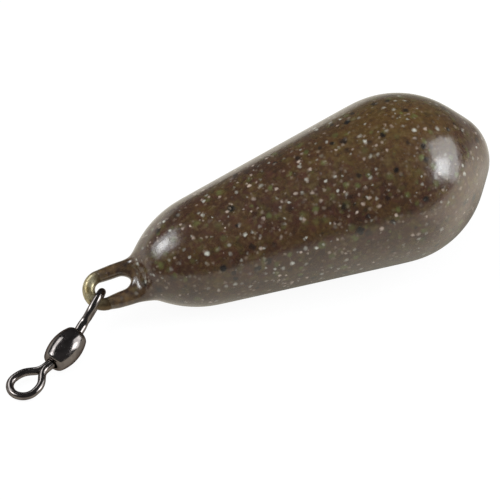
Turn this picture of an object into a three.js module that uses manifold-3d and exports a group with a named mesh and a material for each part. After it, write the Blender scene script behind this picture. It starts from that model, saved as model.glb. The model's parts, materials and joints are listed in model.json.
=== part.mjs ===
// Pear-shaped swivel lead: a fishing weight of cast lead in a moulded coat, with a wire loop
// cast into its narrow end and a rolling swivel hooked on that loop.
// Millimetres, +Z up. The weight lies on its tapered side with its nose towards +X, and the
// origin is the middle of the strip of coat that it lies on.
import * as THREE from "three";
import { mergeVertices } from "three/addons/utils/BufferGeometryUtils.js";
import Module from "manifold-3d";

const wasm = await Module();
wasm.setup();

const { degToRad } = THREE.MathUtils;

// Body of the weight, over its coat. Distances along the axis start at the flat tail.
const BODY_LENGTH = 41.6;
const BELLY_DIAMETER = 18.9;
const NOSE_TIP_RADIUS = 5.57;
const NOSE_FLANK_ANGLE = degToRad(51.5);
const SHOULDER_RADIUS = 10.84;
const TAPER_START = 7.07;
const TAPER_START_DIAMETER = 12.44;
const TAIL_DOME_RADIUS = 12.18;
const TAIL_CORNER_RADIUS = 1.65;
const COAT_THICKNESS = 0.4;

// Wire loop, cast in with splayed feet, a little to one side of the body's axis.
const LOOP_WIRE = 1.42;
const LOOP_SPACING = 3.26;
const LOOP_REACH = 6.95;
const LOOP_OFFSET = 0.14;
const ANCHOR_DEPTH = 10;
const FOOT_LENGTH = 3.4;
const FOOT_SPLAY = degToRad(32);
const FOOT_BEND_RADIUS = 2.2;

// Collar of coat that climbs the legs of the loop.
const COLLAR_SLEEVE = 0.35;
const COLLAR_WALL = 0.14;
const COLLAR_LIP = 0.09;
const COLLAR_FILLET = 2.48;
const COLLAR_FLATNESS = 0.55;
const COLLAR_SINK = 0.05;
const SADDLE_DEPTH = 0.35;

// Swivel eyes: wire bent into a teardrop, its two ends pressed together into one round shank.
const EYE_WIRE = 0.89;
const EYE_REACH = 6.25;
const EYE_BEND_RADIUS = 1.14;
const EYE_NECK = 0.85;
const EYE_FLARE = 1.5;
const EYE_SIDE = 2.14;
const SHANK_DIAMETER = 1.13;
const STRAND_SINK = 0.02;
const SEAM_WIDTH = 0.14;
const SEAM_DEPTH = 0.12;
const HEAD_OVERLAP = 0.26;
const HEAD_THICKNESS = 0.36;
const HEAD_DEPTH = 0.8;

// Swivel barrel, drawn in over the heads of both eyes.
const BARREL_LENGTH = 4.85;
const BARREL_DIAMETER = 3.44;
const BARREL_WALL = 0.28;
const BARREL_END_WALL = 0.36;
const BARREL_CORNER = 0.36;

// Clearances: between cast-in or moulded pieces, under the hooked eye, and inside the barrel.
const SEAT_CLEARANCE = 0.1;
const HOOK_CLEARANCE = 0.12;
const RUNNING_CLEARANCE = 0.08;

// The pose in which the weight lies: how the loop is rolled, where the eye sits on its bend and
// how far it swings forward, and how far each eye rocks in the barrel and which way.
const LOOP_ROLL = degToRad(32.4);
const HOOK_ANGLE = degToRad(38.3);
const SWING = degToRad(11.1);
const ROCK_ANGLE = degToRad(9.3);
const ROCK_DEPTH = 0.6;
const ROCK_DIRECTION = degToRad(-88.4);
const LOWER_EYE_TURN = degToRad(-22.1);

// Facets of the round pieces. A multiple of four puts a flat strip under the body.
const BODY_SIDES = 16;
const COLLAR_SIDES = 24;
const BARREL_SIDES = 24;
const SHANK_SIDES = 16;
const WIRE_SIDES = 12;
const LOOP_STEP = 0.62;
const EYE_STEP = 0.42;

// Chords of each rounded stretch of an outline.
const TAIL_CORNER_CHORDS = 3;
const TAIL_DOME_CHORDS = 5;
const SHOULDER_CHORDS = 7;
const NOSE_TIP_CHORDS = 5;
const COLLAR_LIP_CHORDS = 2;
const COLLAR_FILLET_CHORDS = 5;
const BARREL_CHORDS = 6;

const MERGE_DISTANCE = 1e-4;

function toSolid(geometry) {
  const bare = geometry.index ? geometry.toNonIndexed() : geometry.clone();
  bare.deleteAttribute("normal");
  bare.deleteAttribute("uv");
  const merged = mergeVertices(bare, MERGE_DISTANCE);
  const mesh = new wasm.Mesh({
    numProp: 3,
    vertProperties: merged.attributes.position.array,
    triVerts: new Uint32Array(merged.index.array),
  });
  return new wasm.Manifold(mesh);
}

function toGeometry(solid) {
  const { vertProperties, triVerts } = solid.getMesh();
  const geometry = new THREE.BufferGeometry();
  geometry.setAttribute("position", new THREE.BufferAttribute(vertProperties, 3));
  geometry.setIndex(new THREE.BufferAttribute(triVerts, 1));
  geometry.computeVertexNormals();
  return geometry;
}

// A flat outline carried into space, so that wire can be swept along it.
class FlatRoute extends THREE.Curve {
  constructor(outline) {
    super();
    this.outline = outline;
  }

  getPoint(t, target = new THREE.Vector3()) {
    const { x, y } = this.outline.getPoint(t);
    return target.set(x, y, 0);
  }
}

function sweepWire(outline, diameter, step) {
  const section = new THREE.Shape().absarc(0, 0, diameter / 2, 0, 2 * Math.PI);
  return new THREE.ExtrudeGeometry(section, {
    curveSegments: WIRE_SIDES / 2,
    steps: Math.ceil(outline.getLength() / step),
    bevelEnabled: false,
    extrudePath: new FlatRoute(outline),
  });
}

function revolve(points, sides) {
  return new THREE.LatheGeometry(points, sides, Math.PI / sides);
}

// A direction in the half-plane through the axis: 0 points outwards, a right angle to the nose.
function direction(angle) {
  return new THREE.Vector2(Math.cos(angle), Math.sin(angle));
}

function arc(centre, radius, from, to, chords) {
  const points = [];
  for (let i = 0; i <= chords; i++) {
    const angle = from + ((to - from) * i) / chords;
    points.push(direction(angle).multiplyScalar(radius).add(centre));
  }
  return points;
}

// Centres and joins of the arcs that make up the outline of the body, each arc tangent to the next.
function bodyArcs() {
  const tipCentre = new THREE.Vector2(0, BODY_LENGTH - NOSE_TIP_RADIUS);
  const flankNormal = direction(NOSE_FLANK_ANGLE);
  const shoulderX = BELLY_DIAMETER / 2 - SHOULDER_RADIUS;
  const flankReach = flankNormal.dot(tipCentre) + NOSE_TIP_RADIUS - SHOULDER_RADIUS;
  const shoulderY = (flankReach - flankNormal.x * shoulderX) / flankNormal.y;
  const shoulderCentre = new THREE.Vector2(shoulderX, shoulderY);

  const taperStart = new THREE.Vector2(TAPER_START_DIAMETER / 2, TAPER_START);
  const toStart = taperStart.clone().sub(shoulderCentre);
  const taperAngle = Math.atan2(toStart.y, toStart.x) + Math.acos(SHOULDER_RADIUS / toStart.length());
  const taperNormal = direction(taperAngle);
  const taperEnd = taperNormal.clone().multiplyScalar(SHOULDER_RADIUS).add(shoulderCentre);
  const domeCentre = taperNormal.clone().multiplyScalar(-TAIL_DOME_RADIUS).add(taperStart);

  const cornerReach = TAIL_DOME_RADIUS - TAIL_CORNER_RADIUS;
  const cornerRise = TAIL_CORNER_RADIUS - domeCentre.y;
  const cornerX = domeCentre.x + Math.sqrt(cornerReach ** 2 - cornerRise ** 2);
  const cornerCentre = new THREE.Vector2(cornerX, TAIL_CORNER_RADIUS);
  const cornerAngle = cornerCentre.clone().sub(domeCentre).angle() - 2 * Math.PI;
  return {
    tipCentre,
    shoulderCentre,
    domeCentre,
    cornerCentre,
    cornerAngle,
    taperAngle,
    taperStart,
    taperEnd,
  };
}

// The outline of the body, set inwards from the surface of the coat, from the tail to the nose.
function bodyProfile(inset) {
  const { tipCentre, shoulderCentre, domeCentre, cornerCentre, cornerAngle, taperAngle } = bodyArcs();
  const cornerRadius = TAIL_CORNER_RADIUS - inset;
  const domeRadius = TAIL_DOME_RADIUS - inset;
  const shoulderRadius = SHOULDER_RADIUS - inset;
  const tipRadius = NOSE_TIP_RADIUS - inset;
  const back = -Math.PI / 2;
  const ahead = Math.PI / 2;
  return [
    new THREE.Vector2(0, inset),
    ...arc(cornerCentre, cornerRadius, back, cornerAngle, TAIL_CORNER_CHORDS),
    ...arc(domeCentre, domeRadius, cornerAngle, taperAngle, TAIL_DOME_CHORDS).slice(1),
    ...arc(shoulderCentre, shoulderRadius, taperAngle, NOSE_FLANK_ANGLE, SHOULDER_CHORDS),
    ...arc(tipCentre, tipRadius, NOSE_FLANK_ANGLE, ahead, NOSE_TIP_CHORDS).slice(0, -1),
    new THREE.Vector2(0, BODY_LENGTH - inset),
  ];
}

// The centre line of the loop, from one splayed foot round the bend to the other foot.
function loopOutline(extraLength) {
  const leg = LOOP_SPACING / 2;
  const bendY = loopBendY();
  const turnX = leg + FOOT_BEND_RADIUS;
  const footStart = new THREE.Vector2(
    turnX - FOOT_BEND_RADIUS * Math.cos(FOOT_SPLAY),
    ANCHOR_DEPTH + FOOT_BEND_RADIUS * Math.sin(FOOT_SPLAY),
  );
  const footRun = FOOT_LENGTH + extraLength;
  const footEnd = new THREE.Vector2(Math.sin(FOOT_SPLAY), Math.cos(FOOT_SPLAY))
    .multiplyScalar(footRun)
    .add(footStart);
  const outline = new THREE.Path();
  outline.moveTo(footEnd.x, footEnd.y);
  outline.lineTo(footStart.x, footStart.y);
  outline.absarc(turnX, ANCHOR_DEPTH, FOOT_BEND_RADIUS, Math.PI - FOOT_SPLAY, Math.PI, false);
  outline.lineTo(leg, bendY);
  outline.absarc(0, bendY, leg, 0, -Math.PI, true);
  outline.lineTo(-leg, ANCHOR_DEPTH);
  outline.absarc(-turnX, ANCHOR_DEPTH, FOOT_BEND_RADIUS, 0, FOOT_SPLAY, false);
  outline.lineTo(-footEnd.x, footEnd.y);
  return outline;
}

function loopBendY() {
  return LOOP_SPACING / 2 + LOOP_WIRE / 2 - LOOP_REACH;
}

// A flattened, flared boss: the coat runs up the loop's legs and sags into a saddle between them.
// Its fillet runs out on the dome of the tail, sunk a little so that no edge shows.
function collarSolid() {
  const { domeCentre } = bodyArcs();
  const legWall = LOOP_WIRE / 2 + SEAT_CLEARANCE + COLLAR_WALL;
  const halfWidth = LOOP_SPACING / 2 + legWall;
  const filletX = halfWidth + COLLAR_FILLET;
  const reach = TAIL_DOME_RADIUS - COLLAR_SINK + COLLAR_FILLET;
  const filletY = domeCentre.y - Math.sqrt(reach ** 2 - (filletX - domeCentre.x) ** 2);
  const filletCentre = new THREE.Vector2(filletX, filletY);
  const runOut = domeCentre.clone().sub(filletCentre).angle();
  const flare = arc(filletCentre, COLLAR_FILLET, Math.PI, runOut, COLLAR_FILLET_CHORDS);
  const top = filletY - COLLAR_SLEEVE;
  const lipCentre = new THREE.Vector2(halfWidth - COLLAR_LIP, top + COLLAR_LIP);
  const points = [
    new THREE.Vector2(0, top),
    ...arc(lipCentre, COLLAR_LIP, -Math.PI / 2, 0, COLLAR_LIP_CHORDS),
    ...flare,
    new THREE.Vector2(0, flare[flare.length - 1].y),
  ];
  const boss = revolve(points, COLLAR_SIDES).scale(1, 1, COLLAR_FLATNESS);
  const saddleRadius = LOOP_SPACING / 2 - legWall;
  const saddle = new THREE.CylinderGeometry(saddleRadius, saddleRadius, 2 * halfWidth, SHANK_SIDES);
  saddle.rotateX(Math.PI / 2);
  saddle.scale(1, SADDLE_DEPTH / saddleRadius, 1);
  saddle.translate(0, top, 0);
  return toSolid(boss).subtract(toSolid(saddle));
}

// The channel round the loop's wire in the pieces that are cast and moulded on it.
function channelSolid(extraLength) {
  const outline = loopOutline(extraLength);
  const channel = toSolid(sweepWire(outline, LOOP_WIRE + 2 * SEAT_CLEARANCE, LOOP_STEP));
  return turned(channel);
}

function coatSolid() {
  const outside = toSolid(revolve(bodyProfile(0), BODY_SIDES));
  const inside = toSolid(revolve(bodyProfile(COAT_THICKNESS), BODY_SIDES));
  return outside.add(turned(collarSolid())).subtract(inside).subtract(channelSolid(0));
}

function coreSolid() {
  const lead = toSolid(revolve(bodyProfile(COAT_THICKNESS + SEAT_CLEARANCE), BODY_SIDES));
  return lead.subtract(channelSolid(SEAT_CLEARANCE));
}

// A solid made in the plane of the loop, set off and rolled with the loop about the body's axis.
function turned(solid) {
  return solid.translate([LOOP_OFFSET, 0, 0]).rotate([0, THREE.MathUtils.radToDeg(LOOP_ROLL), 0]);
}

const boreRadius =
  SHANK_DIAMETER / 2 / Math.cos(ROCK_ANGLE) + ROCK_DEPTH * Math.tan(ROCK_ANGLE) + RUNNING_CLEARANCE;
const headRadius = boreRadius + HEAD_OVERLAP;

// One side of an eye: from the shank, where the strands start to part, to the widest point.
function eyeSide() {
  const strand = SHANK_DIAMETER / 2 - EYE_WIRE / 2 - STRAND_SINK;
  const widest = new THREE.Vector2(EYE_BEND_RADIUS + EYE_WIRE / 2, eyeBendY());
  return new THREE.CubicBezierCurve(
    new THREE.Vector2(strand, EYE_NECK),
    new THREE.Vector2(strand, EYE_NECK + EYE_FLARE),
    new THREE.Vector2(widest.x, widest.y - EYE_SIDE),
    widest,
  );
}

// The height at which the two strands come apart and the hole of the eye begins.
function eyeCrotchY() {
  const side = eyeSide();
  let near = 0;
  let far = 1;
  while (far - near > MERGE_DISTANCE) {
    const middle = (near + far) / 2;
    if (side.getPoint(middle).x < EYE_WIRE / 2) near = middle;
    else far = middle;
  }
  return side.getPoint(near).y;
}

// The centre line of an eye, from the shank round the bend and back. The barrel's face is at y = 0.
function eyeOutline() {
  const { v0: neck, v1: flare, v2: swell, v3: widest } = eyeSide();
  const start = EYE_NECK - EYE_WIRE / 2;
  const outline = new THREE.Path();
  outline.moveTo(neck.x, start);
  outline.lineTo(neck.x, neck.y);
  outline.bezierCurveTo(flare.x, flare.y, swell.x, swell.y, widest.x, widest.y);
  outline.absarc(0, widest.y, widest.x, 0, Math.PI, false);
  outline.bezierCurveTo(-swell.x, swell.y, -flare.x, flare.y, -neck.x, neck.y);
  outline.lineTo(-neck.x, start);
  return outline;
}

function eyeBendY() {
  return EYE_REACH - EYE_WIRE - EYE_BEND_RADIUS;
}

// One eye: the teardrop, its seamed shank and the head that the barrel holds.
function eyeSolid() {
  const shank = SHANK_DIAMETER / 2;
  const headBack = HEAD_DEPTH + HEAD_THICKNESS;
  const chamfer = HEAD_THICKNESS / 2;
  const crotch = eyeCrotchY();
  const shankTop = (EYE_NECK + crotch) / 2;
  const profile = [
    [0, -headBack],
    [headRadius - chamfer, -headBack],
    [headRadius, chamfer - headBack],
    [headRadius, -HEAD_DEPTH],
    [shank, -ROCK_DEPTH],
    [shank, shankTop],
    [shank / 2, crotch],
    [0, crotch],
  ].map(([x, y]) => new THREE.Vector2(x, y));
  const teardrop = toSolid(sweepWire(eyeOutline(), EYE_WIRE, EYE_STEP));
  let solid = toSolid(revolve(profile, SHANK_SIDES)).add(teardrop);
  for (const face of [-1, 1]) {
    const seam = new THREE.BoxGeometry(SEAM_WIDTH, shankTop + ROCK_DEPTH, 2 * SEAM_DEPTH);
    seam.translate(0, (shankTop - ROCK_DEPTH) / 2, face * shank);
    solid = solid.subtract(toSolid(seam));
  }
  return solid;
}

// The barrel is a bulged shell whose ends are drawn in round the shanks, leaving room to rock.
function barrelGeometry() {
  const end = BARREL_LENGTH / 2;
  const insideEnd = end - BARREL_END_WALL;
  const headDrop = HEAD_DEPTH - ROCK_DEPTH;
  const headSweep = headRadius * Math.cos(ROCK_ANGLE) + headDrop * Math.sin(ROCK_ANGLE);
  const insideShoulder = headSweep + RUNNING_CLEARANCE;
  const shoulder = insideShoulder + BARREL_WALL;
  const face = shoulder - BARREL_CORNER;
  const bulge = BARREL_DIAMETER - shoulder;
  const insideBulge = BARREL_DIAMETER - 2 * BARREL_WALL - insideShoulder;
  const profile = new THREE.Path();
  profile.moveTo(boreRadius, -end);
  profile.lineTo(face, -end);
  profile.quadraticCurveTo(shoulder, -end, shoulder, BARREL_CORNER - end);
  profile.quadraticCurveTo(bulge, 0, shoulder, end - BARREL_CORNER);
  profile.quadraticCurveTo(shoulder, end, face, end);
  profile.lineTo(boreRadius, end);
  profile.lineTo(boreRadius, insideEnd);
  profile.lineTo(insideShoulder, insideEnd);
  profile.quadraticCurveTo(insideBulge, 0, insideShoulder, -insideEnd);
  profile.lineTo(boreRadius, -insideEnd);
  profile.lineTo(boreRadius, -end);
  return revolve(profile.getPoints(BARREL_CHORDS), BARREL_SIDES);
}

// The flat strip under the body is level when the axis rises to the nose by the strip's own angle.
function lyingPlace() {
  const { taperAngle, taperStart, taperEnd } = bodyArcs();
  const flat = Math.cos(Math.PI / BODY_SIDES);
  const tilt = Math.atan(flat * Math.tan(-taperAngle));
  const middle = taperStart.clone().add(taperEnd).multiplyScalar(0.5);
  const strip = middle.x * flat;
  const x = -middle.y * Math.cos(tilt) - strip * Math.sin(tilt);
  const z = strip * Math.cos(tilt) - middle.y * Math.sin(tilt);
  return { tilt, position: new THREE.Vector3(x, 0, z) };
}

const LEAD = { color: 0x6d6f73, roughness: 0.6, metalness: 0.9 };
const GLOSS_COAT = { color: 0x4b3728, roughness: 0.2, metalness: 0 };
const BRASS = { color: 0x8a7544, roughness: 0.35, metalness: 1 };
const DARK_NICKEL = { color: 0x2c2827, roughness: 0.24, metalness: 1 };

function piece(name, geometry, finish) {
  const mesh = new THREE.Mesh(geometry, new THREE.MeshStandardMaterial(finish));
  mesh.name = name;
  return mesh;
}

const part = new THREE.Group();

const weight = new THREE.Group();
const lying = lyingPlace();
weight.position.copy(lying.position);
weight.rotation.set(0, -lying.tilt, -Math.PI / 2);
weight.add(piece("lead_core", toGeometry(coreSolid()), LEAD));
weight.add(piece("speckled_coat", toGeometry(coatSolid()), GLOSS_COAT));
part.add(weight);

const loop = new THREE.Group();
const loopSolid = toSolid(sweepWire(loopOutline(0), LOOP_WIRE, LOOP_STEP));
loop.position.set(LOOP_OFFSET * Math.cos(LOOP_ROLL), 0, -LOOP_OFFSET * Math.sin(LOOP_ROLL));
loop.rotation.y = LOOP_ROLL;
loop.add(piece("wire_loop", toGeometry(loopSolid), BRASS));
weight.add(loop);

// The eye hangs on the loop's bend and swings about the wire there.
const hook = new THREE.Group();
const hookPlace = direction(HOOK_ANGLE - Math.PI / 2).multiplyScalar(LOOP_SPACING / 2);
hook.position.set(hookPlace.x, loopBendY() + hookPlace.y, 0);
hook.rotation.set(-SWING, 0, HOOK_ANGLE, "ZYX");
loop.add(hook);

const upperFace = LOOP_WIRE / 2 + HOOK_CLEARANCE - eyeBendY() - EYE_BEND_RADIUS;
const upperEye = piece("swivel_upper_eye", toGeometry(eyeSolid()), DARK_NICKEL);
upperEye.position.y = upperFace;
upperEye.rotation.y = Math.PI / 2;
hook.add(upperEye);

const rockAxis = new THREE.Vector3(Math.cos(ROCK_DIRECTION), 0, Math.sin(ROCK_DIRECTION));
const barrelEnd = new THREE.Group();
barrelEnd.position.y = upperFace - ROCK_DEPTH;
barrelEnd.quaternion.setFromAxisAngle(rockAxis, ROCK_ANGLE);
hook.add(barrelEnd);

const barrel = piece("swivel_barrel", barrelGeometry(), DARK_NICKEL);
barrel.position.y = ROCK_DEPTH - BARREL_LENGTH / 2;
barrelEnd.add(barrel);

const lineEnd = new THREE.Group();
lineEnd.position.y = 2 * ROCK_DEPTH - BARREL_LENGTH;
lineEnd.quaternion.setFromAxisAngle(rockAxis, ROCK_ANGLE);
barrelEnd.add(lineEnd);

const lowerEye = piece("swivel_lower_eye", toGeometry(eyeSolid()), DARK_NICKEL);
lowerEye.position.y = -ROCK_DEPTH;
lowerEye.rotation.set(Math.PI, LOWER_EYE_TURN, 0, "YXZ");
lineEnd.add(lowerEye);

export default part;
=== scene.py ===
# %% [markdown]
# # A pear-shaped fishing weight and its swivel
#
# The weight lies on its tapered side: a lead body in a glossy speckled coat, a brass wire loop that
# comes out of its narrow end, and a small black-nickel swivel hooked through that loop.
# The imported model comes first. It is the fixed frame that every piece below is built into.

# %% Load the imported model
import json
import math

import bmesh
import bpy
from mathutils import Matrix, Vector
from mathutils.geometry import interpolate_bezier


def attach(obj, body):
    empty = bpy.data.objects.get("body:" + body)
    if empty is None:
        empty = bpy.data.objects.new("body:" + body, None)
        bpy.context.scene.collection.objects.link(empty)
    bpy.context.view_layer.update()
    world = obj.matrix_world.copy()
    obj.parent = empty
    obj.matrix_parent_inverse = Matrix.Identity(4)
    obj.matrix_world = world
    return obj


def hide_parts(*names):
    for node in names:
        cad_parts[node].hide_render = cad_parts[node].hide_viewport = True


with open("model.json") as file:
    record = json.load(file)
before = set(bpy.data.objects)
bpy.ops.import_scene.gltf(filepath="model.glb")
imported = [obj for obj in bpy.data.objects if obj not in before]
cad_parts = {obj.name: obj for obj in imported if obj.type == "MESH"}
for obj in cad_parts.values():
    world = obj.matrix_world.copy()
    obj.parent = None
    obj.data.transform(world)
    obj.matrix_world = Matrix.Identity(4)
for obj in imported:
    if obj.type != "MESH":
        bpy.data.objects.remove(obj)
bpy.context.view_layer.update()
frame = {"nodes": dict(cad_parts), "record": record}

# %% [markdown]
# ## The camera
#
# The weight was pictured with so long a lens that parallel edges stay parallel. A lens of 1500 mm at a
# little over two metres gives the same flat view. The camera looks down at 41.5 degrees from a little
# to the left of the weight's middle. Its target is the point that falls on the middle of the picture,
# and the scale there is 0.1107 mm to a pixel of a picture 500 pixels wide.

# %% Place the camera
VIEW_AZIMUTH, VIEW_ELEVATION = -22.0, 41.5
PICTURE_PIXELS, PIXEL_SIZE = 500, 0.1107e-3
FOCAL_LENGTH, SENSOR_WIDTH = 1500, 36
TARGET = Vector((-6.986e-3, -2.793e-3, 7.011e-3))


def toward(azimuth, elevation):
    """The direction in which something stands, in degrees: azimuth 0 is straight in front."""
    around, up = math.radians(azimuth), math.radians(elevation)
    return Vector((math.sin(around) * math.cos(up), -math.cos(around) * math.cos(up), math.sin(up)))


scene = bpy.context.scene
lens = bpy.data.cameras.new("long_lens")
lens.lens, lens.sensor_width = FOCAL_LENGTH, SENSOR_WIDTH
view_back = toward(VIEW_AZIMUTH, VIEW_ELEVATION)
camera = bpy.data.objects.new("camera", lens)
camera.location = TARGET + view_back * (PICTURE_PIXELS * PIXEL_SIZE * FOCAL_LENGTH / SENSOR_WIDTH)
camera.rotation_euler = view_back.to_track_quat("Z", "Y").to_euler()
scene.collection.objects.link(camera)
scene.camera = camera
scene.view_settings.view_transform = "Standard"
print("camera stands", round(1000 * (camera.location - TARGET).length), "mm from its target")

# %% [markdown]
# ## Helpers for node materials
#
# A material is a small network of nodes. The first helper fills a node's sockets: a plain value is set,
# and an output of another node is linked. A socket goes by its name, or by an underscore and its number
# where names repeat. The second helper adds a node and fills it. The third turns an ordinary screen
# colour into the linear numbers that shaders work with, so colours can be written as they look.

# %% Node helpers
def fill(tree, node, **sockets):
    for name, value in sockets.items():
        socket = node.inputs[int(name[1:]) if name[0] == "_" else name.replace("_", " ")]
        if isinstance(value, bpy.types.NodeSocket):
            tree.links.new(value, socket)
        else:
            socket.default_value = value


def add(tree, kind, settings=None, **sockets):
    node = tree.nodes.new("ShaderNode" + kind)
    for name, value in (settings or {}).items():
        setattr(node, name, value)
    fill(tree, node, **sockets)
    return node


def screen(red, green, blue):
    """The linear colour that shows as this colour on an ordinary screen."""
    parts = [v / 255 for v in (red, green, blue)]
    return (*[v / 12.92 if v < 0.04045 else ((v + 0.055) / 1.055) ** 2.4 for v in parts], 1)


print("middle grey on a screen is", round(screen(128, 128, 128)[0], 3), "in linear light")

# %% [markdown]
# Most of what the finishes below do is made of a few small steps: a sum, a product, a ramp that turns one
# range of values into another with soft or straight ends, a mix of two colours, and a noise. Each gets a
# short name here and gives back the output of its node.

# %% Sums, ramps, mixes and noise
def calc(tree, operation, *values):
    sockets = {f"_{k}": value for k, value in enumerate(values)}
    return add(tree, "Math", {"operation": operation}, **sockets).outputs[0]


def times(tree, one, other):
    return calc(tree, "MULTIPLY", one, other)


def ramp(tree, value, start, end, low=0.0, high=1.0, soft=True):
    """Goes from low to high as the value goes from start to end."""
    ends = {"interpolation_type": "SMOOTHSTEP" if soft else "LINEAR"}
    made = add(tree, "MapRange", ends, Value=value, From_Min=start, From_Max=end, To_Min=low, To_Max=high)
    return made.outputs["Result"]


def mixed(tree, amount, under, over):
    return add(tree, "Mix", {"data_type": "RGBA"}, _0=amount, _6=under, _7=over).outputs[2]


def noise(tree, place, scale, detail, roughness=0.5):
    made = add(tree, "TexNoise", Vector=place, Scale=scale, Detail=detail, Roughness=roughness)
    return made.outputs["Fac"]


def bumped(tree, height, strength, depth, **under):
    """A normal tilted by a height between 0 and 1, which stands for a depth in metres."""
    return add(tree, "Bump", Height=height, Strength=strength, Distance=depth, **under).outputs["Normal"]


# %% [markdown]
# ## The table and the light
#
# The weight lies on white paper so bright that hardly any shadow is left. More lamp light would bleach
# the weight, so the paper itself shines for rays that come from the camera, a reflection or a refraction.
# It also throws a little light up at the weight, as white paper does, and its plain diffuse part takes
# the shadow.
#
# In the weight's gloss the paper doesn't look the same all over. It ends at a line in front, where the
# dim room begins, so the pale band low on the coat has a clear upper edge. Its glow is painted brighter
# beside the nose and painted dimmer behind it, and a painted shadow darkens it right under the weight. All
# of this is worked out from the place on the paper, in metres, so it stays where it is in every view.

# %% How the paper looks in the gloss
PAPER_PLAIN, PAPER_DIM, PAPER_FULL = 0.72, 0.04, 0.87
BESIDE_NOSE_PAINTED_LIGHT, BEHIND_NOSE_PAINTED_SHADE, UNDER_BODY_PAINTED_SHADOW = 0.85, 0.85, 0.8
BODY_MIDDLE = 0.01


def paper_in_gloss(tree, place):
    """How bright a place on the paper looks when the weight mirrors it."""
    spot = add(tree, "SeparateXYZ", Vector=place).outputs
    x, y = spot["X"], spot["Y"]
    # painted light beside the nose and painted shade behind it, in the glow that the gloss mirrors
    front, beside = ramp(tree, y, 0.01, -0.016, 0.0, BESIDE_NOSE_PAINTED_LIGHT), ramp(tree, x, 0.013, 0.03)
    level = calc(tree, "MULTIPLY_ADD", front, beside, PAPER_PLAIN)
    back, right = ramp(tree, y, 0.012, 0.05, 0.0, BEHIND_NOSE_PAINTED_SHADE), ramp(tree, x, 0.012, 0.045)
    level = times(tree, level, calc(tree, "SUBTRACT", 1.0, times(tree, back, right)))
    edge = calc(tree, "ADD", y, ramp(tree, x, 0.03, 0.13, 0.0, 0.06, soft=False))
    level = times(tree, ramp(tree, edge, -0.08, -0.04, PAPER_DIM, PAPER_FULL), level)
    # painted shadow: the mirrored glow is dimmed right under the weight, where its shadow falls
    across = ramp(tree, calc(tree, "ABSOLUTE", y), 0.012, 0.003, 0.0, UNDER_BODY_PAINTED_SHADOW)
    beyond = calc(tree, "ABSOLUTE", calc(tree, "SUBTRACT", x, BODY_MIDDLE))
    shade = times(tree, across, ramp(tree, beyond, 0.03, 0.012))
    return times(tree, level, calc(tree, "SUBTRACT", 1.0, shade))


# %% [markdown]
# The paper's glow depends on the kind of ray that meets it. A ray from the camera sees plain white. A
# mirrored ray sees the levels from above, in a warmer white, and a diffuse ray picks up only a share, so
# that the coat's underside isn't flooded. A fine grain in the bump keeps the sheet from being a perfect
# plane.

# %% The paper
FLOOR_HEIGHT, FLOOR_SIZE, FLOOR_CELLS = -0.00015, 1.6, 8
PAPER_GLOW, PAPER_BOUNCE = 0.93, 0.42
PAPER_WHITE, PAPER_WARM, PAPER_MATT = (1, 1, 1, 1), (1.0, 0.93, 0.8, 1), (0.13, 0.13, 0.13, 1)


def paper_material():
    white = bpy.data.materials.new("white_paper")
    white.use_nodes = True
    tree = white.node_tree
    tree.nodes.clear()
    place = add(tree, "TexCoord").outputs["Object"]
    ray = add(tree, "LightPath").outputs
    straight = calc(tree, "MAXIMUM", ray["Is Camera Ray"], ray["Is Transmission Ray"])
    mirrored = times(tree, ray["Is Glossy Ray"], paper_in_gloss(tree, place))
    seen = calc(tree, "MAXIMUM", straight, mirrored)
    bounced = times(tree, ray["Is Diffuse Ray"], PAPER_BOUNCE)
    strength = calc(tree, "MULTIPLY_ADD", seen, PAPER_GLOW, bounced)
    tint = mixed(tree, ray["Is Glossy Ray"], PAPER_WHITE, PAPER_WARM)
    fibre = bumped(tree, noise(tree, place, 900.0, 3.0), 0.1, 0.0001)
    matt = add(tree, "BsdfDiffuse", Color=PAPER_MATT, Normal=fibre).outputs[0]
    shine = add(tree, "Emission", Color=tint, Strength=strength).outputs[0]
    add(tree, "OutputMaterial", Surface=add(tree, "AddShader", _0=matt, _1=shine).outputs[0])
    return white


bm = bmesh.new()
bmesh.ops.create_grid(bm, x_segments=FLOOR_CELLS, y_segments=FLOOR_CELLS, size=FLOOR_SIZE / 2)
bmesh.ops.translate(bm, verts=bm.verts, vec=(0, 0, FLOOR_HEIGHT))
sheet = bpy.data.meshes.new("paper")
bm.to_mesh(sheet)
bm.free()
sheet.materials.append(paper_material())
paper = bpy.data.objects.new("paper", sheet)
scene.collection.objects.link(paper)
print("paper lies", -1000 * FLOOR_HEIGHT, "mm under the frame's zero")

# %% [markdown]
# Two soft boxes light the weight, and their shapes show in its gloss: one beyond the left end makes the
# bright patch on the tail, and one to the right, hung on its corner, makes the patch on the nose. Each
# has a hot middle, as a lamp behind cloth does. A short strip close to the swivel draws the bright lines
# on its small wires. The broad fill overhead only brings the colours up, so it is kept out of
# reflections. A panorama of a studio could light the weight as well, but a lamp of known place and size
# can be set against the patch that it makes. So a box is given by the angles at which it stands and the
# angles that it fills, and its power follows from its brightness and its size.

# %% The lamps
LAMP_TINT = (0.95, 0.98, 1.0)
LAMP_DISTANCE, HOT_DISTANCE, STRIP_DISTANCE = 0.4, 0.39, 0.07
SWIVEL_MIDDLE = (-0.03, -0.005, 0.002)
CORNER_DOWN = 39


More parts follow.
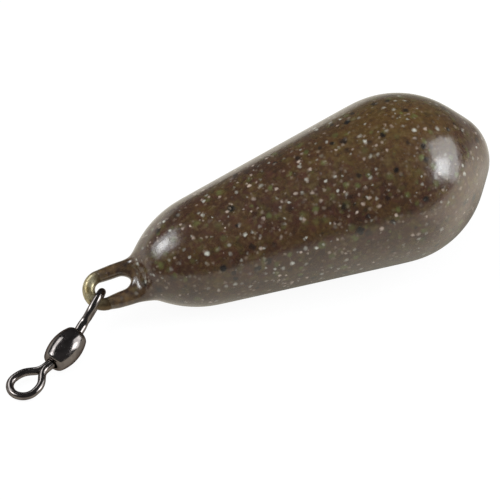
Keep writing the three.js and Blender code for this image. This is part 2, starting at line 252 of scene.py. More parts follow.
def soft_box(name, azimuth, elevation, width, height, brightness,
             distance=LAMP_DISTANCE, twist=0, aim=(0, 0, 0), mirrored=True):
    lamp = bpy.data.lights.new(name, "AREA")
    lamp.shape = "RECTANGLE"
    lamp.size = 2 * distance * math.tan(math.radians(width / 2))
    lamp.size_y = 2 * distance * math.tan(math.radians(height / 2))
    lamp.energy = brightness * math.pi * lamp.size * lamp.size_y
    lamp.color = LAMP_TINT
    stand = bpy.data.objects.new(name, lamp)
    out = toward(azimuth, elevation)
    stand.location = Vector(aim) + out * distance
    spin = Matrix.Rotation(math.radians(twist), 3, "Z")
    stand.rotation_euler = (out.to_track_quat("Z", "Y").to_matrix() @ spin).to_euler()
    stand.visible_camera = False
    stand.visible_glossy = mirrored
    scene.collection.objects.link(stand)
    print(name, round(lamp.energy, 3), "W")
    return stand


# name, azimuth and elevation, width and height in degrees, brightness
soft_box("left_box", -107, 38, 37, 28, 2.3)
soft_box("left_hot_middle", -108, 37, 17, 12, 7.6, distance=HOT_DISTANCE)
strip = soft_box("near_left_strip", -152, 45, 34, 21, 3.2, distance=STRIP_DISTANCE, aim=SWIVEL_MIDDLE)
soft_box("right_box", 69.5, 26, 45, 37, 2.9, twist=CORNER_DOWN)
soft_box("right_hot_middle", 58, 26, 18, 18, 5.5, distance=HOT_DISTANCE, twist=CORNER_DOWN)
soft_box("overhead_fill", 0, 78, 75, 75, 1.0, mirrored=False)

# %% [markdown]
# The room around the table is dim, which keeps the gloss deep. One pale wall stands low behind the tail
# and draws the light rim there. A world's texture coordinates are directions, so three ramps, on height,
# depth and side, mark out the wall.

# %% The room
ROOM_TONE, WALL_TONE = (0.07, 0.07, 0.073, 1), (0.85, 0.85, 0.82, 1)


def dim_room():
    room = bpy.data.worlds.new("dim_room")
    room.use_nodes = True
    tree = room.node_tree
    way = add(tree, "SeparateXYZ", Vector=add(tree, "TexCoord").outputs["Generated"]).outputs
    low, behind = ramp(tree, way["Z"], 0.32, 0.12), ramp(tree, way["Y"], -0.1, 0.5)
    wall = times(tree, times(tree, low, behind), ramp(tree, way["X"], 0.1, -0.3))
    fill(tree, tree.nodes["Background"], Color=mixed(tree, wall, ROOM_TONE, WALL_TONE))
    return room


scene.world = dim_room()
print("room has", len(scene.world.node_tree.nodes), "nodes")

# %% [markdown]
# ## Where each piece stands
#
# Every piece is modelled upright in its own small frame, in millimetres, with its axis along Y, and is
# then carried to its place by one matrix. The weight leans by the slope of its taper, and lies on one of
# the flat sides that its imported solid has. The loop is rolled about the weight's axis and sits a hair to
# one side of it. The upper eye hooks on the loop's bend and swings down, and the barrel and the lower eye
# each rock a little further. The model's joints lie on the same chain, so the distances printed here
# should be nothing.

# %% The chain of frames
TAPER_SLOPE = math.radians(8.148)
TAPER_RADIUS, TAPER_Y = 7.780287, 17.967702
FLAT_SIDES = 16
LOOP_ROLL, LOOP_OFFSET = math.radians(32.4), 0.14
LOOP_BEND_RADIUS, LOOP_BEND_Y = 1.63, -4.61
HOOK_ANGLE, SWING = math.radians(38.3), math.radians(11.1)
HOOKED_FACE, BARREL_LENGTH = -4.53, 4.85
ROCK_ANGLE, ROCK_HEADING, ROCK_DEPTH = math.radians(9.3), math.radians(-88.4), 0.6
ROCK_AXIS = Vector((math.cos(ROCK_HEADING), 0, math.sin(ROCK_HEADING)))
LOWER_EYE_TURN = math.radians(-22.1)


def move(x, y, z):
    return Matrix.Translation((x, y, z))


def turn(angle, axis):
    return Matrix.Rotation(angle, 4, axis)


flat = math.cos(math.pi / FLAT_SIDES)
lean = math.atan(flat * math.tan(TAPER_SLOPE))
low = TAPER_RADIUS * flat
WEIGHT = (move(-TAPER_Y * math.cos(lean) - low * math.sin(lean), 0,
               low * math.cos(lean) - TAPER_Y * math.sin(lean))
          @ turn(-lean, "Y") @ turn(-math.pi / 2, "Z"))
ROLLED = WEIGHT @ turn(LOOP_ROLL, "Y")
LOOP = ROLLED @ move(LOOP_OFFSET, 0, 0)
HOOK = (LOOP @ move(LOOP_BEND_RADIUS * math.sin(HOOK_ANGLE),
                    LOOP_BEND_Y - LOOP_BEND_RADIUS * math.cos(HOOK_ANGLE), 0)
        @ turn(HOOK_ANGLE, "Z") @ turn(-SWING, "X"))
UPPER_EYE = HOOK @ move(0, HOOKED_FACE, 0) @ turn(math.pi / 2, "Y")
TIPPED = HOOK @ move(0, HOOKED_FACE - ROCK_DEPTH, 0) @ turn(ROCK_ANGLE, ROCK_AXIS)
BARREL = TIPPED @ move(0, ROCK_DEPTH - BARREL_LENGTH / 2, 0)
LINE_END = TIPPED @ move(0, 2 * ROCK_DEPTH - BARREL_LENGTH, 0) @ turn(ROCK_ANGLE, ROCK_AXIS)
LOWER_EYE = LINE_END @ move(0, -ROCK_DEPTH, 0) @ turn(LOWER_EYE_TURN, "Y") @ turn(math.pi, "X")

for joint, place in zip(frame["record"]["behaviour"]["joints"], (HOOK, BARREL, LINE_END)):
    off = (place.translation - 1000 * Vector(joint["pos_m"])).length
    print(joint["name"], "is", round(off, 4), "mm from its frame")

# %% [markdown]
# The same last steps end every piece: merge what coincides, turn the faces outwards, carry the shape
# to its place in metres, and hand it to an object at the origin that rides on a body of the model.
# Edges sharper than the crease angle stay sharp, and all others are shaded smooth.

# %% Finish a piece
MERGE = 1e-5
TO_METRES = Matrix.Scale(0.001, 4)


def to_object(bm, name, place, body, node, material, crease=None):
    bmesh.ops.remove_doubles(bm, verts=bm.verts, dist=MERGE)
    bmesh.ops.recalc_face_normals(bm, faces=bm.faces)
    bmesh.ops.transform(bm, matrix=TO_METRES @ place, verts=bm.verts)
    mesh = bpy.data.meshes.new(name)
    bm.to_mesh(mesh)
    bm.free()
    mesh.shade_smooth()
    if crease:
        mesh.set_sharp_from_angle(angle=math.radians(crease))
    mesh.materials.append(material)
    made = bpy.data.objects.new(name, mesh)
    scene.collection.objects.link(made)
    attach(made, body)
    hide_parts(node)
    print(name, "has", len(mesh.polygons), "faces before any modifier")
    return made


# %% [markdown]
# ## The outline of the body
#
# The body was cast in a turned mould, so it is a lathe shape: half its outline, spun round the axis. A
# sphere could be pulled into shape instead, but its outline would be hard to hold to measured sizes. A
# pen draws the outline from the nose to the tail. An arc is one vertex spun about the arc's centre, and
# a straight stretch is the vertex extruded on.

# %% A pen for outlines, and a lathe
def pen_arc(bm, tip, centre, degrees, steps):
    spun = bmesh.ops.spin(bm, geom=[tip], cent=(*centre, 0), axis=(0, 0, 1),
                          angle=math.radians(degrees), steps=steps)
    return next(g for g in spun["geom_last"] if isinstance(g, bmesh.types.BMVert))


def pen_line(bm, tip, end, steps=1):
    start = tip.co.copy()
    for step in range(steps):
        tip = bmesh.ops.extrude_vert_indiv(bm, verts=[tip])["verts"][0]
        tip.co = start.lerp(Vector((*end, 0)), (step + 1) / steps)
    return tip


def lathe(bm, sides):
    bmesh.ops.spin(bm, geom=list(bm.verts) + list(bm.edges), cent=(0, 0, 0), axis=(0, 1, 0),
                   angle=2 * math.pi, steps=sides, use_merge=True)
    bmesh.ops.remove_doubles(bm, verts=bm.verts, dist=MERGE)


# %% [markdown]
# The body will be smoothed by a subdivision surface, so few points are enough, but they crowd together
# at the nose, where all the faces meet in one point. Such a surface lies a little inside its cage, so
# the round part of the cage is swollen by just as much. The last five points are the rings of the neck,
# which the next step reshapes.

# %% Draw and spin the body
HAIR = 1e-4
BODY_SIDES = 24
NOSE_TIP, NOSE_CENTRE = 41.6, (0, 36.03)
NOSE_ARCS = ((-2, 1), (-5, 1), (-31.5, 5))
NOSE_SHOULDER = (5.3581, 38.8854)
BELLY_CENTRE, BELLY_ARC = (-1.39, 30.40176), -59.648
TAPER_END = (6.22, 7.07)
TAIL_CENTRE, TAIL_ARC = (-5.837, 8.7963), -29.75
NECK_RINGS = [
    # half width below and above and its height, half thickness and its height, how far it has parted
    (3.32, 3.36, 0.72, 3.22, 0.63, 0.0),
    (3.12, 2.84, 0.10, 2.48, 0.12, 0.25),
    (2.97, 2.50, -0.46, 1.76, -0.10, 0.5),
    (2.86, 2.40, -0.98, 1.22, -0.42, 0.75),
    (2.76, 2.38, -1.52, 0.90, -0.86, 1.0),
]


def swell(sides):
    """How much larger a ring of a cage is than the round surface inside it."""
    return 3 / (2 + math.cos(2 * math.pi / sides))


cage = bmesh.new()
tip = bmesh.ops.create_vert(cage, co=(0, NOSE_TIP, 0))["vert"][0]
for degrees, steps in NOSE_ARCS:
    tip = pen_arc(cage, tip, NOSE_CENTRE, degrees, steps)
tip = pen_line(cage, tip, NOSE_SHOULDER, steps=2)
tip = pen_arc(cage, tip, BELLY_CENTRE, BELLY_ARC, steps=9)
tip = pen_line(cage, tip, TAPER_END, steps=8)
tip = pen_arc(cage, tip, TAIL_CENTRE, TAIL_ARC, steps=6)
lathe_end = tip.co.y
for width, _, height, *_ in NECK_RINGS:
    tip = pen_line(cage, tip, (width, height))
lathe(cage, BODY_SIDES)
turned = [v for v in cage.verts if v.co.y > lathe_end - HAIR]
bmesh.ops.scale(cage, vec=(swell(BODY_SIDES), 1, swell(BODY_SIDES)), verts=turned)
print("body cage has", len(cage.faces), "faces and its lathe part ends at", round(lathe_end, 2), "mm")

# %% [markdown]
# ## The collar and the coated legs
#
# Where the loop leaves the body, the coat climbs a little way up both legs of the wire. So the round
# tail has to become two round sleeves, as a pair of trousers does. Tubes could be joined to the body as
# separate solids, but that leaves a hard line where the real coat flows. So the last rings of the lathe
# are reshaped one by one from a circle to an outline round both legs. The coat has sagged a little while
# it set, so most rings are wider below than above.
#
# Three numbers are kept on every vertex: how thick the coat's wall is there, how much of it is only a
# film on the wire, and how bare the wire is. The wall and the finish will read them.

# %% Reshape the neck rings
LEG, LEG_SIDES = LOOP_BEND_RADIUS, 14
PINCH = 0.2
RIM_WALL, RIM_FILM = 0.3, 0.8


def neck_place(angle, below, above, width_y, half_thick, thick_y, parted):
    """Where a vertex of a neck ring goes, from its angle round the axis in degrees."""
    side = 1 if abs(angle) < 90 else -1
    face = 1 if angle > 0 else -1
    quarter = abs(angle) if side > 0 else 180 - abs(angle)
    height = width_y + (thick_y - width_y) * math.sin(math.radians(quarter)) ** 2
    if abs(quarter - 90) < HAIR:
        return Vector((0, height, face * half_thick * (1 - PINCH * parted)))
    bent = math.radians(quarter * (1 + parted * (BODY_SIDES / LEG_SIDES - 1)))
    leg = LEG * parted
    reach = leg + ((below if side > 0 else above) - leg) * math.cos(bent)
    return Vector((side * reach, height, face * half_thick * math.sin(bent)))


wall = cage.verts.layers.deform.verify()
film = cage.verts.layers.float.new("film")
bare = cage.verts.layers.float.new("bare")
for v in cage.verts:
    v[wall][0] = 1.0
rings = [[v for v in cage.verts if abs(v.co.y - ring[2]) < HAIR] for ring in NECK_RINGS]
for ring, verts in zip(NECK_RINGS, rings):
    parted = ring[-1]
    for v in verts:
        v.co = neck_place(math.degrees(math.atan2(v.co.z, v.co.x)), *ring)
        v[wall][0] = 1.0 - (1.0 - RIM_WALL) * parted
        v[film] = RIM_FILM * max(0.0, 2 * parted - 1)
print("neck rings:", [len(verts) for verts in rings])

# %% [markdown]
# Now one vertex in the crotch joins the front and the back, and each half of the rim is extruded, ring by
# ring, into a sleeve. The subdivision surface will round the crotch into the small saddle that the real
# coat has there. At the end the neck is pushed over to where the loop stands, a hair beside the axis.

# %% Part the rim into two sleeves
COAT_THICKNESS = 0.4
CROTCH_Y = -1.12
UPPER_SAG = 0.3
LEG_STEP = 360 / LEG_SIDES
OFFSET_FROM, OFFSET_TO = 1.5, -0.5
SLEEVE = [
    # height, radius, how thick the coat is, how far it sags under the lower leg, how bare the wire is
    (-1.95, 0.83, 0.11, 0.26, 0.0), (-2.6, 0.83, 0.11, 0.21, 0.0), (-3.2, 0.815, 0.095, 0.17, 0.0),
    (-3.8, 0.785, 0.07, 0.13, 0.0), (-4.25, 0.75, 0.04, 0.06, 0.04), (-4.6, 0.714, 0.012, 0.01, 0.12),
]


def grow(bm, ring):
    """Extrudes a ring of edges, and gives back the new vertices and the new ring."""
    grown = bmesh.ops.extrude_edge_only(bm, edges=ring)["geom"]
    fresh = [g for g in grown if isinstance(g, bmesh.types.BMVert)]
    edges = [g for g in grown if isinstance(g, bmesh.types.BMEdge)]
    return fresh, [e for e in edges if all(v in fresh for v in e.verts)]


def share(value, start, end):
    """How far a value has come on its way from start to end, from 0 to 1."""
    return min(1.0, max(0.0, (value - start) / (end - start)))


rim = rings[-1]
crotch = bmesh.ops.create_vert(cage, co=(0, CROTCH_Y, 0))["vert"][0]
crotch[wall][0], crotch[film] = RIM_WALL, RIM_FILM
seams = [cage.edges.new((v, crotch)) for v in rim if abs(v.co.x) < HAIR]
rim_edges = [e for e in cage.edges if e.verts[0] in rim and e.verts[1] in rim]
for side in (1, -1):
    cuff = [e for e in rim_edges if (e.verts[0].co.x + e.verts[1].co.x) * side > 0] + seams
    for height, radius, skin, sag, worn in SLEEVE:
        before = {v for e in cuff for v in e.verts}
        fresh, cuff = grow(cage, cuff)
        for v in fresh:
            below = next(e.other_vert(v) for e in v.link_edges if e.other_vert(v) in before)
            around = math.pi if below is crotch else math.atan2(below.co.z, side * below.co.x - LEG)
            around = math.radians(round(math.degrees(around) / LEG_STEP) * LEG_STEP)
            reach = radius * swell(LEG_SIDES)
            hang = (1.0 if side > 0 else UPPER_SAG) * sag * max(0.0, math.cos(around))
            v.co = (side * (LEG + reach * math.cos(around)) + hang, height, reach * math.sin(around))
            v[wall][0] = (skin + max(0.0, side * hang)) / COAT_THICKNESS
            v[film], v[bare] = 1.0, worn
for v in cage.verts:
    v.co.x += LOOP_OFFSET * share(v.co.y, OFFSET_FROM, OFFSET_TO)
print("sleeves end", SLEEVE[-1][0], "mm from the tail, round", len(cuff), "sides")

# %% [markdown]
# ## The coat's finish
#
# The coat is brown plastic with a clear gloss, speckled all through so that it looks like gravel on a
# lake bed. Its ground comes first. Noise clouds the brown from dark to golden, patches of rust and of
# moss lie over that, the top of the belly gets painted light from above that makes it a little lighter and
# more golden, and a finer grit of dark and sandy grains breaks it all up. A painted picture could be
# wrapped round the body, but it would pinch at the nose and show a seam. Noise has neither. It is read in
# millimetres on the object itself, so the patches have a real size and stay put when the weight is moved.

# %% The clouded ground
# heights in millimetres over which the painted light on the top of the belly grows
PAINTED_TOP_LIGHT_FROM, PAINTED_TOP_LIGHT_TO = 14.5, 18.8


def start_material(name):
    """A new material with its tree, its main shader and the place on the object in millimetres."""
    made = bpy.data.materials.new(name)
    made.use_nodes = True
    tree = made.node_tree
    place = add(tree, "TexCoord").outputs["Object"]
    mm = add(tree, "Mapping", Vector=place, Scale=(1000, 1000, 1000)).outputs["Vector"]
    return made, tree, tree.nodes["Principled BSDF"], mm


def tones(tree, value, *stops):
    """A colour ramp. Each stop is a place from 0 to 1 and the screen colour there."""
    made = add(tree, "ValToRGB", Fac=value)
    points = made.color_ramp.elements
    for place, _ in stops[1:-1]:
        points.new(place)
    for point, (place, colour) in zip(points, stops):
        point.position, point.color = place, screen(*colour)
    return made.outputs["Color"]


def coat_ground(tree, mm, shifted, grit):
    clouds = noise(tree, mm, 0.36, 4.0, 0.6)
    colour = tones(tree, clouds, (0.32, (64, 40, 27)), (0.5, (76, 50, 32)), (0.68, (87, 62, 32)))
    rust = ramp(tree, noise(tree, mm, 1.0, 2.0), 0.5, 0.68, 0.0, 0.75, soft=False)
    colour = mixed(tree, rust, colour, screen(86, 52, 40))
    moss = ramp(tree, noise(tree, shifted, 0.9, 2.0), 0.5, 0.68, 0.0, 0.5, soft=False)
    colour = mixed(tree, moss, colour, screen(92, 80, 38))
    # painted light: the top of the belly is tinted lighter and more golden by its height, as if lit from
    # above
    height = add(tree, "SeparateXYZ", Vector=mm).outputs["Z"]
    painted_top_light = ramp(tree, height, PAINTED_TOP_LIGHT_FROM, PAINTED_TOP_LIGHT_TO, 0.0, 0.45)
    colour = mixed(tree, painted_top_light, colour, screen(104, 79, 34))
    dark = ramp(tree, grit, 0.5, 0.68, 0.0, 0.5, soft=False)
    colour = mixed(tree, dark, colour, screen(50, 36, 27))
    sand = ramp(tree, grit, 0.46, 0.3, 0.0, 0.35, soft=False)
    return mixed(tree, sand, colour, screen(121, 100, 68))


# %% [markdown]
# In the ground float dull green and black blots and many small white flecks, some near the surface and
# bright, some deeper and faint. They come from a cell pattern: a fleck is the middle of a cell, so the
# distance from that middle decides its outline, and the cell's own random colour decides how large and
# how strong it is, or that there is none. The light flecks gather in swarms and thin out towards the
# nose.

# %% Flecks and blots
SMALLEST, LARGEST = 0.55, 1.3
SWARM_LEAST, SWARM_MOST = 0.7, 1.35
THIN_FROM, THIN_TO, THIN_SHARE = 0.0, 16.0, 0.65
FLECKS = [
    # pattern, cells per mm, size and soft edge in cells, share of cells, strength, in swarms, colour
    ("ragged", 0.8, 0.43, 0.36, 0.75, 0.75, False, (108, 116, 64)),
    ("shifted", 0.78, 0.42, 0.26, 0.7, 1.0, False, (24, 20, 19)),
    ("ragged", 1.4, 0.36, 0.3, 0.85, 0.75, True, (148, 132, 114)),
    ("ragged", 1.2, 0.34, 0.28, 0.5, 0.95, True, (208, 188, 172)),
    ("shifted", 1.1, 0.33, 0.28, 0.55, 1.0, True, (212, 211, 198)),
]


def soft_spots(tree, place, cells, size, blur, share_of_cells):
    """A mask of spots that differ in size and strength, in a share of the cells."""
    cell = add(tree, "TexVoronoi", {"feature": "F1"}, Vector=place, Scale=cells)
    lot = add(tree, "SeparateColor", Color=cell.outputs["Color"]).outputs
    growth = ramp(tree, lot["Green"], 0.0, 1.0, SMALLEST, LARGEST, soft=False)
    apart = calc(tree, "DIVIDE", cell.outputs["Distance"], growth)
    drawn = ramp(tree, lot["Red"], 1 - share_of_cells, 1.0, soft=False)
    return times(tree, ramp(tree, apart, size, size - blur), drawn)


def coat_flecks(tree, mm, patterns, colour):
    swarms = noise(tree, patterns["shifted"], 0.3, 1.0)
    swarms = ramp(tree, swarms, 0.38, 0.6, SWARM_LEAST, SWARM_MOST, soft=False)
    along = add(tree, "SeparateXYZ", Vector=mm).outputs["X"]
    crowd = times(tree, swarms, ramp(tree, along, THIN_FROM, THIN_TO, 1.0, THIN_SHARE))
    for pattern, cells, size, blur, share_of_cells, strength, in_swarms, tone in FLECKS:
        spots = soft_spots(tree, patterns[pattern], cells, size, blur, share_of_cells)
        amount = times(tree, spots, strength)
        if in_swarms:
            amount = times(tree, amount, crowd)
        colour = mixed(tree, amount, colour, screen(*tone))
    return colour


print("the coat has", len(FLECKS), "kinds of flecks and blots")

# %% [markdown]
# On the legs the coat is a thin, streaky film that lets the brass show through, and towards the bend of
# the loop the film wears away and the wire itself is seen. Both pieces fade into each other by the same
# attribute, "bare", so the tones of the old brass are needed here already: olive and brown, and so dull
# that it is only partly a mirror.

# %% Film and old brass
BRASS_METAL = 0.7
FILM_COVER = 0.85


def brass_tones(tree, mm):
    dull = noise(tree, mm, 0.9, 5.0, 0.65)
    return tones(tree, dull, (0.34, (124, 109, 68)), (0.6, (200, 190, 156)))


def attribute(tree, name):
    return add(tree, "Attribute", {"attribute_name": name}).outputs["Fac"]


def coat_on_legs(tree, mm, worn, colour):
    streaks = tones(tree, noise(tree, mm, 1.6, 4.0), (0.35, (58, 42, 35)), (0.68, (114, 90, 58)))
    colour = mixed(tree, times(tree, attribute(tree, "film"), FILM_COVER), colour, streaks)
    return mixed(tree, worn, colour, brass_tones(tree, mm))


# %% [markdown]
# Over all this lies a clear lacquer with a slow ripple. The plastic below it shines too, but is pitted
# by the grit, so the highlights have a clean core and a broken edge. A faint golden sheen lifts the
# rims, where dust lies on the lacquer. The wall of the coat gets its thickness from a modifier, which
# follows the number kept on each vertex, so the film on the legs is thin in shape as well.

# %% The coat
def coat_material():
    made, tree, shader, mm = start_material("speckled_gloss_coat")
    stir = add(tree, "TexNoise", Vector=mm, Scale=2.2, Detail=2.0).outputs["Color"]
    push = add(tree, "VectorMath", {"operation": "SCALE"}, _0=stir, Scale=0.4).outputs[0]
    ragged = add(tree, "VectorMath", {"operation": "ADD"}, _0=mm, _1=push).outputs[0]
    shifted = add(tree, "VectorMath", {"operation": "ADD"}, _0=ragged, _1=(31.7, 5.3, 12.9)).outputs[0]
    grit = noise(tree, mm, 2.0, 2.0, 0.55)
    worn = attribute(tree, "bare")
    colour = coat_ground(tree, mm, shifted, grit)
    colour = coat_flecks(tree, mm, {"ragged": ragged, "shifted": shifted}, colour)
    colour = coat_on_legs(tree, mm, worn, colour)
    gloss = ramp(tree, noise(tree, mm, 0.7, 3.0), 0.3, 0.7, 0.22, 0.34, soft=False)
    ripple = bumped(tree, noise(tree, mm, 1.1, 2.0), 0.45, 0.00004)
    pits = bumped(tree, grit, 0.75, 0.00004, Normal=ripple)
    fill(tree, shader, Base_Color=colour, Metallic=times(tree, worn, BRASS_METAL), Roughness=gloss,
         Normal=pits, IOR=1.5, Sheen_Weight=0.1, Sheen_Roughness=0.4, Sheen_Tint=screen(222, 208, 150),
         Coat_Weight=1.0, Coat_Roughness=0.14, Coat_IOR=1.5, Coat_Normal=ripple)
    return made


coat = to_object(cage, "coat", ROLLED, "weight", "speckled_coat", coat_material())
coat.vertex_groups.new(name="wall")
rounding = coat.modifiers.new("rounding", "SUBSURF")
rounding.levels = rounding.render_levels = 2
skin = coat.modifiers.new("skin", "SOLIDIFY")
skin.thickness = COAT_THICKNESS / 1000
skin.offset = -1
skin.vertex_group = "wall"

# %% [markdown]
# ## The wire loop
#
# The loop is one brass wire, bent into a long U, with its two feet splayed inside the lead so that it
# can't pull out. A curve with a round section would give such a wire too, but every bend here is a known
# arc, and a spin makes it exactly. Half of the loop is enough: a circle stands across the wire at the
# top of the bend, is spun round the bend, extruded down the leg, spun the other way into the foot, and
# mirrored. The wire is bare at the bend and less so on the side where the coat ran further.

# %% Bend the loop
LOOP_WIRE, WIRE_SIDES, BEND_STEPS = 1.42, 28, 16
ANCHOR_DEPTH = 10.0
FOOT_LENGTH, FOOT_SPLAY, FOOT_BEND = 3.4, 32.0, 2.2
BARE_FROM, BARE_TO = -4.45, -5.55
COVERED_SIDE, OPEN_SIDE, LEAST_BARE = 1.9, 0.7, 0.15


def wire_ring(bm, centre, facing, diameter):
    """The first circle of a wire, standing across the direction it faces."""
    stand = Vector(facing).to_track_quat("Z", "Y").to_matrix().to_4x4()
    bmesh.ops.create_circle(bm, segments=WIRE_SIDES, radius=diameter / 2, matrix=move(*centre) @ stand)
    return list(bm.edges)


def wire_bend(bm, ring, centre, degrees, steps):
    spun = bmesh.ops.spin(bm, geom=ring, cent=(*centre, 0), axis=(0, 0, 1),
                          angle=math.radians(degrees), steps=steps)
    return [g for g in spun["geom_last"] if isinstance(g, bmesh.types.BMEdge)]


def wire_run(bm, ring, vector, steps):
    for _ in range(steps):
        fresh, ring = grow(bm, ring)
        bmesh.ops.translate(bm, verts=fresh, vec=Vector(vector) / steps)
    return ring


def other_half(bm):
    """Mirrors a bent half wire across its middle and welds the two where they meet."""
    half = list(bm.verts) + list(bm.edges) + list(bm.faces)
    bmesh.ops.mirror(bm, geom=half, axis="X", merge_dist=HAIR)


bm = bmesh.new()
ring = wire_ring(bm, (0, LOOP_BEND_Y - LEG, 0), (1, 0, 0), LOOP_WIRE)
ring = wire_bend(bm, ring, (0, LOOP_BEND_Y), 90, BEND_STEPS)
ring = wire_run(bm, ring, (0, ANCHOR_DEPTH - LOOP_BEND_Y, 0), steps=10)
ring = wire_bend(bm, ring, (LEG + FOOT_BEND, ANCHOR_DEPTH), -FOOT_SPLAY, steps=5)
splay = math.radians(FOOT_SPLAY)
ring = wire_run(bm, ring, (FOOT_LENGTH * math.sin(splay), FOOT_LENGTH * math.cos(splay), 0), steps=2)
bmesh.ops.edgeloop_fill(bm, edges=ring)
other_half(bm)
bare = bm.verts.layers.float.new("bare")
for v in bm.verts:
    open_side = max(LEAST_BARE, share(v.co.x, COVERED_SIDE, OPEN_SIDE))
    v[bare] = share(v.co.y, BARE_FROM, BARE_TO) * open_side
print("loop is", round(max(v.co.x for v in bm.verts) * 2, 2), "mm across its feet")

# %% [markdown]
# Old brass goes olive and brown. The bend, which the swivel rubs on, is brighter and yellower than the
# legs. Fine scratches run along the wire, so the noise that makes them is stretched along the leg.

# %% The loop's material
CREASE = 50


def brass_material():
    made, tree, shader, mm = start_material("tarnished_brass")
    colour = mixed(tree, attribute(tree, "bare"), screen(92, 72, 48), brass_tones(tree, mm))
    dirt = noise(tree, mm, 3.2, 4.0)
    dirty = ramp(tree, dirt, 0.52, 0.7, 0.0, 0.7, soft=False)
    drawn = add(tree, "Mapping", Vector=mm, Scale=(1.0, 9.0, 9.0)).outputs["Vector"]
    fill(tree, shader, Base_Color=mixed(tree, dirty, colour, screen(96, 78, 48)), Metallic=BRASS_METAL,
         Roughness=ramp(tree, dirt, 0.3, 0.7, 0.28, 0.5, soft=False),
         Normal=bumped(tree, noise(tree, drawn, 1.4, 3.0), 0.2, 0.00002))
    return made


wire_loop = to_object(bm, "loop", LOOP, "weight", "wire_loop", brass_material(), CREASE)

# %% [markdown]
# ## Black nickel
#
# The swivel is plated with bright black nickel over brass. It is a dark, faintly warm mirror, so almost
# all that is seen in it is reflection. Small patches are duller from handling, and its roughness varies
# so that the long highlights aren't perfectly clean. The plating is dark even where it is seen at a flat
# angle, so its edge tint is dark as well and every wire keeps a dark outline on the white paper.

# %% The swivel's material
def nickel_material():
    made, tree, shader, mm = start_material("black_nickel")
    cloud = noise(tree, mm, 1.1, 4.0)
    fill(tree, shader, Metallic=1.0, Specular_Tint=(0.22, 0.2, 0.2, 1),
         Base_Color=tones(tree, cloud, (0.35, (114, 108, 106)), (0.68, (144, 137, 133))),
         Roughness=ramp(tree, noise(tree, mm, 2.6, 5.0), 0.35, 0.7, 0.1, 0.24, soft=False),
         Normal=bumped(tree, noise(tree, mm, 5.0, 3.0), 0.15, 0.00002))
    return made


BLACK_NICKEL = nickel_material()
print("black nickel has", len(BLACK_NICKEL.node_tree.nodes), "nodes")

# %% [markdown]
# ## The swivel's eyes
#
# Each eye is a wire bent into a teardrop with full sides. Its two ends lie side by side as a shank, which
# goes into the barrel, and are upset there into a head that can't come out. Half the wire is drawn and
# mirrored, as for the loop: the bend is spun, and then the wire's circle is extruded from point to point
# of a smooth curve, turning as it goes.

# %% Wire along a curve
EYE_WIRE, EYE_WIDEST, EYE_BEND_Y = 0.89, 1.585, 4.22
EYE_SIDE, EYE_FLARE = 2.14, 1.5
STRAND, NECK_Y = 0.11, 0.85
SIDE_POINTS = 20


def side_points(count):
    """Points down one side of an eye, from its widest place to where the strands meet."""
    shank, widest = Vector((STRAND, NECK_Y)), Vector((EYE_WIDEST, EYE_BEND_Y))
    return interpolate_bezier(widest, widest - Vector((0, EYE_SIDE)),
                              shank + Vector((0, EYE_FLARE)), shank, count)


def wire_follow(bm, ring, points):
    """Extrudes a wire section from point to point and turns it to face along the way."""
    ways = [b - a for a, b in zip(points, points[1:])]
    bends = [a.normalized() + b.normalized() for a, b in zip(ways, ways[1:])]
    facing = [ways[0]] + bends + [ways[-1]]
    for k, way in enumerate(ways):
        fresh, ring = grow(bm, ring)
        bmesh.ops.translate(bm, verts=fresh, vec=(*way, 0))
        swing = turn(-facing[k].angle_signed(facing[k + 1]), "Z")
        bmesh.ops.rotate(bm, verts=fresh, cent=(*points[k + 1], 0), matrix=swing)
    return ring


eye_side = side_points(SIDE_POINTS)
side_length = sum((b - a).length for a, b in zip(eye_side, eye_side[1:]))
print("one side of an eye takes", round(side_length, 2), "mm of wire")

# %% [markdown]
# The ends are pressed together, so the shank's inner side is pushed flat against the middle plane and a
# fine seam stays between the two strands, which bulge outwards until the shank is nearly round. The head
# is a short disc with rounded rims, and the strands end inside it.

# %% Bend the eyes
SEAM, CROTCH, SHANK_SWELL, SWELL_RUN = 0.04, 2.05, 0.26, 0.9
HEAD_RADIUS, HEAD_TOP, HEAD_BACK = 0.93, -0.8, -1.16
HEAD_SIDES, HEAD_ROUND, STRAND_TUCK = 32, 0.1, 0.1


def eye_mesh():
    bm = bmesh.new()
    ring = wire_ring(bm, (0, EYE_BEND_Y + EYE_WIDEST, 0), (1, 0, 0), EYE_WIRE)
    ring = wire_bend(bm, ring, (0, EYE_BEND_Y), -90, BEND_STEPS)
    ring = wire_follow(bm, ring, eye_side)
    ring = wire_run(bm, ring, (0, HEAD_TOP - STRAND_TUCK - NECK_Y, 0), steps=4)
    bmesh.ops.edgeloop_fill(bm, edges=ring)
    for v in bm.verts:
        if v.co.y < CROTCH:
            v.co.x = max(v.co.x, SEAM / 2)
        v.co.z *= 1 + SHANK_SWELL * share(v.co.y, CROTCH, CROTCH - SWELL_RUN)
    other_half(bm)
    across = move(0, (HEAD_TOP + HEAD_BACK) / 2, 0) @ turn(math.pi / 2, "X")
    head = bmesh.ops.create_cone(bm, cap_ends=True, segments=HEAD_SIDES, radius1=HEAD_RADIUS,
                                 radius2=HEAD_RADIUS, depth=HEAD_TOP - HEAD_BACK, matrix=across)
    edges = dict.fromkeys(e for v in head["verts"] for e in v.link_edges)
    rims = [e for e in edges if abs(e.verts[0].co.y - e.verts[1].co.y) < HAIR]
    bmesh.ops.bevel(bm, geom=rims, offset=HEAD_ROUND, segments=3, profile=0.5, affect="EDGES", material=-1)
    return bm


upper_eye = to_object(eye_mesh(), "upper_eye", UPPER_EYE, "upper_eye", "swivel_upper_eye",
                      BLACK_NICKEL, CREASE)
lower_eye = to_object(eye_mesh(), "lower_eye", LOWER_EYE, "lower_eye", "swivel_lower_eye",
                      BLACK_NICKEL, CREASE)

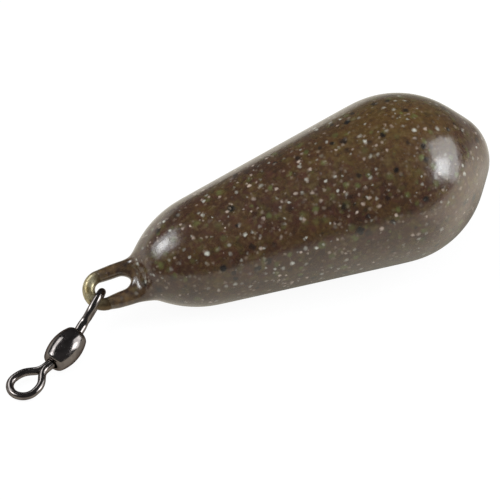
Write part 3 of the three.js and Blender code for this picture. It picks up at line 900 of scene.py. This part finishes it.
# %% [markdown]
# ## The barrel
#
# The barrel is a drawn shell, swollen in the middle and closed in over the heads at both ends. A solid
# bead would look much the same, but the eyes could not sit in it as they do. So its outline is drawn
# from the lower bore, round the outside, into the upper bore and back along the inside, and is spun as
# one closed loop: the bores are real holes, and the heads sit in a real hollow.

# %% Spin the barrel
BARREL_SIDES = 64
HALF = BARREL_LENGTH / 2
BORE, LIP = 0.7, 0.03
LIP_CUT = 0.3 * LIP
SWELL_CENTRE, SWELL_RADIUS, SWELL_ANGLE = (-3.36, 0), 5.14, 23.7
SHELL, END_WALL = 0.28, 0.36

bm = bmesh.new()
reach = math.radians(SWELL_ANGLE)
shoulder = Vector((SWELL_CENTRE[0] + SWELL_RADIUS * math.cos(reach), SWELL_RADIUS * math.sin(reach)))
corner = (HALF - shoulder.y) / (1 - math.sin(reach))
corner_x, corner_y = shoulder.x - corner * math.cos(reach), HALF - corner
first = tip = bmesh.ops.create_vert(bm, co=(BORE, END_WALL - HALF, 0))["vert"][0]
for out, up in ((0, LIP), (LIP_CUT, LIP_CUT), (LIP, 0), (corner_x - BORE, 0)):
    tip = pen_line(bm, tip, (BORE + out, up - HALF))
tip = pen_arc(bm, tip, (corner_x, -corner_y), 90 - SWELL_ANGLE, steps=6)
tip = pen_arc(bm, tip, SWELL_CENTRE, 2 * SWELL_ANGLE, steps=14)
tip = pen_arc(bm, tip, (corner_x, corner_y), 90 - SWELL_ANGLE, steps=6)
for out, down in ((LIP, 0), (LIP_CUT, LIP_CUT), (0, LIP), (0, END_WALL)):
    tip = pen_line(bm, tip, (BORE + out, HALF - down))
inner = SWELL_RADIUS - SHELL
inner_angle = math.asin((HALF - END_WALL) / inner)
tip = pen_line(bm, tip, (SWELL_CENTRE[0] + inner * math.cos(inner_angle), HALF - END_WALL))
tip = pen_arc(bm, tip, SWELL_CENTRE, -2 * math.degrees(inner_angle), steps=10)
bm.edges.new((tip, first))
lathe(bm, BARREL_SIDES)
print("barrel shell has", len(bm.faces), "faces, widest", round(2 * max(v.co.x for v in bm.verts), 2), "mm")
barrel = to_object(bm, "barrel", BARREL, "barrel", "swivel_barrel", BLACK_NICKEL, CREASE)

# %% [markdown]
# ## Light for the wires alone
#
# The strip close to the swivel would also draw a second patch on the glossy coat. A photographer would
# shield the coat from it with a card. Here the lamp is linked to a collection instead, and lights only
# the pieces in it.

# %% Keep the strip's light on the wires
strip_reach = bpy.data.collections.new("lit_by_strip")
for piece in (wire_loop, upper_eye, barrel, lower_eye):
    strip_reach.objects.link(piece)
strip.light_linking.receiver_collection = strip_reach

# %% [markdown]
# ## The lead inside
#
# The lead core can't be seen, but it is what the weight is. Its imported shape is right, so it stays as it
# is and only gets a finish: dull grey cast metal, mottled with oxide.

# %% The lead's material
def lead_material():
    made, tree, shader, mm = start_material("cast_lead")
    oxide = noise(tree, mm, 0.8, 5.0)
    fill(tree, shader, Metallic=0.9,
         Base_Color=tones(tree, oxide, (0.0, (96, 98, 102)), (1.0, (150, 151, 154))),
         Roughness=ramp(tree, oxide, 0.3, 0.7, 0.45, 0.7, soft=False),
         Normal=bumped(tree, oxide, 0.3, 0.00005))
    return made


core = frame["nodes"]["lead_core"]
core.data.materials.clear()
core.data.materials.append(lead_material())
print("lead core keeps its", len(core.data.polygons), "faces")
